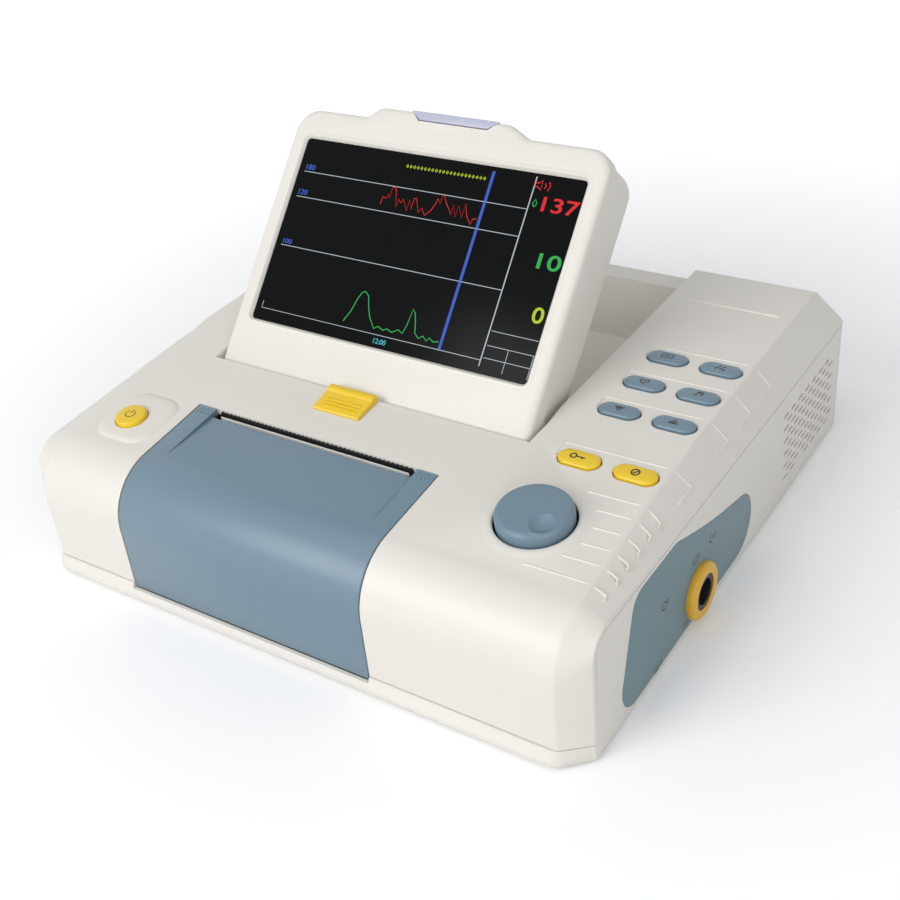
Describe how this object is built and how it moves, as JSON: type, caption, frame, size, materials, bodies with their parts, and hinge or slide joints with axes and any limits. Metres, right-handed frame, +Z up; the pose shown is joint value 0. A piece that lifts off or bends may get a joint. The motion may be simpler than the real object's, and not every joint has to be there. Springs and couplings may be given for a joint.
{
  "type": "fetal monitor",
  "caption": "Bench-top fetal monitor: flip-up display on a wedge case, wrap-over printer door, push keys, rotary knob and a side socket.",
  "frame": {"origin": "on the floor, under the middle of the whole object's box", "axes": "+Z up, -Y the front with the printer door, +X the side with the socket"},
  "size_m": [0.2915, 0.2816, 0.1714],
  "materials": {
    "white_abs": "fine spark-eroded moulded ABS",
    "slate_abs": "satin moulded ABS, blue grey",
    "yellow_abs": "semi-gloss moulded ABS, yellow",
    "black_plastic": "moulded nylon",
    "grey_plastic": "moulded acetal",
    "black_rubber": "ground rubber",
    "grey_silicone": "moulded silicone",
    "screen_glass": "glossy display window",
    "lens_plastic": "translucent polycarbonate",
    "paper": "folded thermal paper",
    "circuit_board": "solder-masked glass epoxy",
    "battery_wrap": "shrink-wrapped cells",
    "steel": "zinc-plated sheet and ground shafts",
    "aluminium": "extruded heat sink",
    "brass": "hobbed brass"
  },
  "bodies": {
    "case": {"bottom_case": "white_abs", "top_cover": "white_abs", "connector_panel": "slate_abs", "socket_ring": "yellow_abs", "socket_insert": "black_plastic", "door_pins": "steel", "paper_tray": "grey_plastic", "paper_pack": "paper", "paper_web": "paper", "print_head": "aluminium", "head_bracket": "steel", "tear_bar": "black_plastic", "feed_motor": "steel", "encoder": "circuit_board", "key_mat": "grey_silicone", "key_board": "circuit_board", "power_switch": "circuit_board", "hinge_blocks": "steel", "main_board": "circuit_board", "power_supply": "steel", "battery_pack": "battery_wrap", "battery_door": "white_abs", "speaker": "black_plastic", "mains_inlet": "black_plastic", "inlet_pins": "steel", "feet": "black_rubber", "case_screws": "steel"},
    "display": {"display_frame": "white_abs", "display_back": "white_abs", "lcd_panel": "steel", "screen_window": "screen_glass", "alarm_lens": "lens_plastic", "alarm_board": "circuit_board", "hinge_shafts": "steel"},
    "door": {"printer_door": "slate_abs", "platen_bushes": "grey_plastic"},
    "platen": {"platen_roller": "black_rubber", "platen_shaft": "steel", "platen_gear": "grey_plastic"},
    "feed_pinion": {"motor_pinion": "brass"},
    "latch": {"latch_button": "yellow_abs", "latch_bar": "grey_plastic"},
    "knob_push_shaft": {"knob_shaft": "steel"},
    "knob": {"knob": "slate_abs"},
    "key_1_left": {"key_1_left": "slate_abs"},
    "key_1_right": {"key_1_right": "slate_abs"},
    "key_2_left": {"key_2_left": "slate_abs"},
    "key_2_right": {"key_2_right": "slate_abs"},
    "key_3_left": {"key_3_left": "slate_abs"},
    "key_3_right": {"key_3_right": "slate_abs"},
    "key_yellow_left": {"key_yellow_left": "yellow_abs"},
    "key_yellow_right": {"key_yellow_right": "yellow_abs"},
    "power_button": {"power_button": "yellow_abs"}
  },
  "joints": [
    {"name": "display_tilt", "type": "hinge", "parent": "case", "child": "display", "pos_m": [0, -0.0323, 0.066], "axis": [1, 0, 0], "range_deg": [-48.2, 5]},
    {"name": "door_open", "type": "hinge", "parent": "case", "child": "door", "pos_m": [0, -0.131, 0.0105], "axis": [1, 0, 0], "range_deg": [0, 60]},
    {"name": "platen_spin", "type": "hinge", "parent": "door", "child": "platen", "pos_m": [0, -0.08493, 0.05768], "axis": [1, 0, 0], "continuous": true},
    {"name": "pinion_spin", "type": "hinge", "parent": "case", "child": "feed_pinion", "pos_m": [0, -0.07606, 0.05401], "axis": [1, 0, 0], "continuous": true},
    {"name": "latch_slide", "type": "slide", "parent": "case", "child": "latch", "axis": [0, 0.9936, 0.1132], "range_m": [0, 0.003], "stiffness_N_per_m": 900, "springref_m": -0.001},
    {"name": "knob_press", "type": "slide", "parent": "case", "child": "knob_push_shaft", "axis": [0, 0.1132, -0.9936], "range_m": [0, 0.0008], "stiffness_N_per_m": 2500, "springref_m": -0.0004},
    {"name": "knob_turn", "type": "hinge", "parent": "knob_push_shaft", "child": "knob", "pos_m": [0.0964, -0.084, 0.06819], "axis": [0, -0.1132, 0.9936], "continuous": true},
    {"name": "key_1_left_press", "type": "slide", "parent": "case", "child": "key_1_left", "axis": [0, 0, -1], "range_m": [0, 0.001], "stiffness_N_per_m": 1500, "springref_m": -0.0003},
    {"name": "key_1_right_press", "type": "slide", "parent": "case", "child": "key_1_right", "axis": [0, 0, -1], "range_m": [0, 0.001], "stiffness_N_per_m": 1500, "springref_m": -0.0003},
    {"name": "key_2_left_press", "type": "slide", "parent": "case", "child": "key_2_left", "axis": [0, 0, -1], "range_m": [0, 0.001], "stiffness_N_per_m": 1500, "springref_m": -0.0003},
    {"name": "key_2_right_press", "type": "slide", "parent": "case", "child": "key_2_right", "axis": [0, 0, -1], "range_m": [0, 0.001], "stiffness_N_per_m": 1500, "springref_m": -0.0003},
    {"name": "key_3_left_press", "type": "slide", "parent": "case", "child": "key_3_left", "axis": [0, 0, -1], "range_m": [0, 0.001], "stiffness_N_per_m": 1500, "springref_m": -0.0003},
    {"name": "key_3_right_press", "type": "slide", "parent": "case", "child": "key_3_right", "axis": [0, 0, -1], "range_m": [0, 0.001], "stiffness_N_per_m": 1500, "springref_m": -0.0003},
    {"name": "key_yellow_left_press", "type": "slide", "parent": "case", "child": "key_yellow_left", "axis": [0, 0.1132, -0.9936], "range_m": [0, 0.001], "stiffness_N_per_m": 1500, "springref_m": -0.0003},
    {"name": "key_yellow_right_press", "type": "slide", "parent": "case", "child": "key_yellow_right", "axis": [0, 0.1132, -0.9936], "range_m": [0, 0.001], "stiffness_N_per_m": 1500, "springref_m": -0.0003},
    {"name": "power_press", "type": "slide", "parent": "case", "child": "power_button", "axis": [0, 0.1132, -0.9936], "range_m": [0, 0.001], "stiffness_N_per_m": 1500, "springref_m": -0.0003}
  ],
  "couplings": [
    {"joint": "pinion_spin", "follows": "platen_spin", "ratio": -2}
  ]
}
